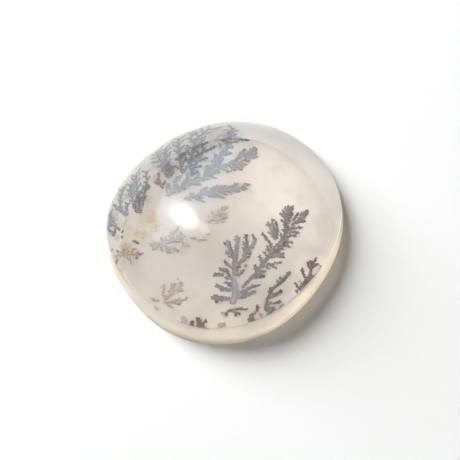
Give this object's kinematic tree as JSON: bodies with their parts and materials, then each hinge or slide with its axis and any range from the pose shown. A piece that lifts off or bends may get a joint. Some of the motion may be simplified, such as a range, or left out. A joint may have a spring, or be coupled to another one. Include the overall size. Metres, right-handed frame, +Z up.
{
  "type": "dendritic quartz cabochon",
  "caption": "Polished oval cabochon of milky quartz with a domed top, upright girdle and flat back, and dark fern-like dendrites inside.",
  "frame": {"origin": "middle of the flat back, on the plane the stone rests on", "axes": "+Z up through the dome, +Y along the long axis of the oval, +X across it"},
  "size_m": [0.0218, 0.0252, 0.007],
  "materials": {
    "milky_quartz": "polished"
  },
  "bodies": {
    "root": {"stone": "milky_quartz"}
  },
  "joints": []
}
